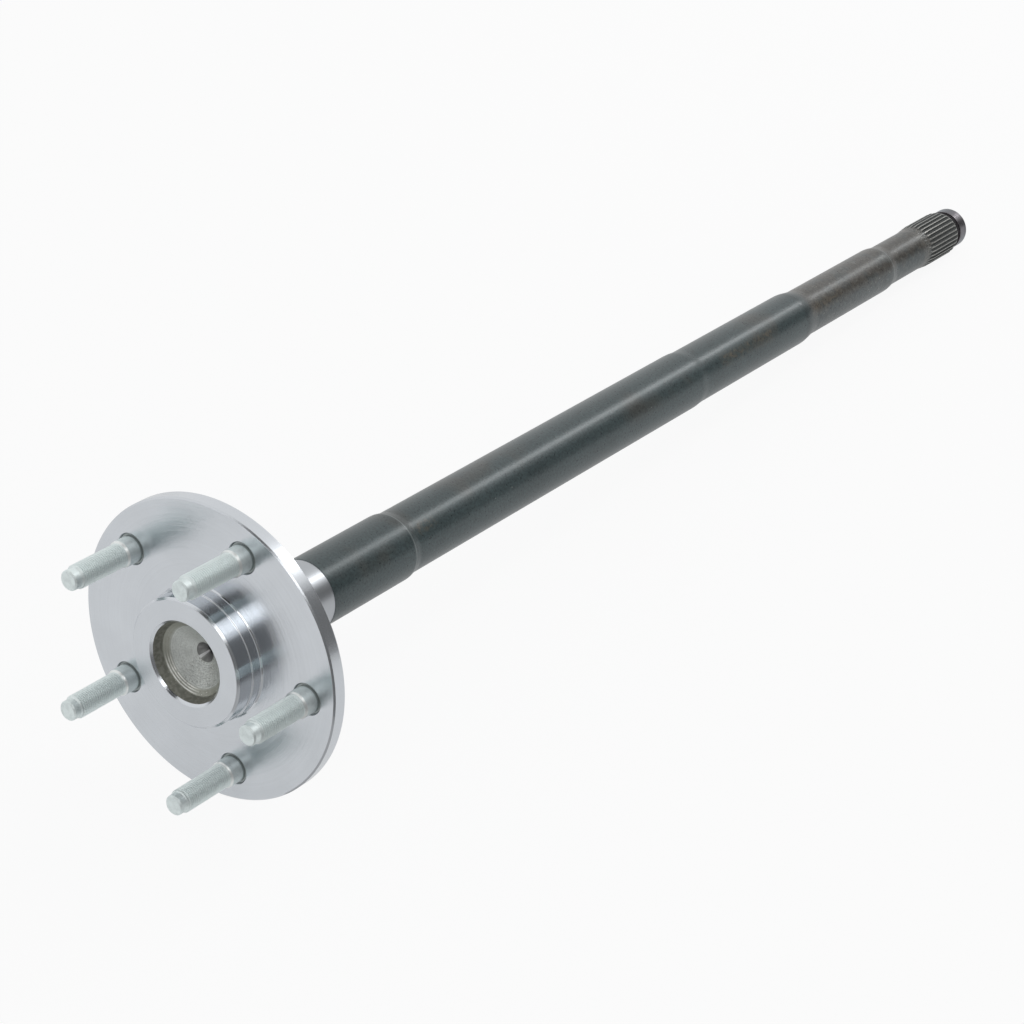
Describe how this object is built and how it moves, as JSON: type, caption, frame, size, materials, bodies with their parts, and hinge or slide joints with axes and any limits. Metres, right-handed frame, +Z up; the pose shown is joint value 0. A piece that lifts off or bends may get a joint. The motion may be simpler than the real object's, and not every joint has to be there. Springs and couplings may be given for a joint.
{
  "type": "axle shaft",
  "caption": "Rear axle shaft with a round wheel flange, pressed-in threaded studs, a stepped centring pilot, a tapering shaft and a splined end with a clip groove.",
  "frame": {"origin": "on the ground, under the middle of the lying shaft's box", "axes": "+Z up, +Y along the ground from the wheel flange to the splined end, +X to the right when looking along +Y"},
  "size_m": [0.1531, 0.7984, 0.1532],
  "materials": {
    "turned_steel": "turned bright at the flange and pilot, dark grey phosphate on the shaft",
    "zinc_plated_steel": "pale zinc plating, satin"
  },
  "bodies": {
    "root": {"axle_shaft": "turned_steel", "wheel_studs": "zinc_plated_steel"}
  },
  "joints": []
}
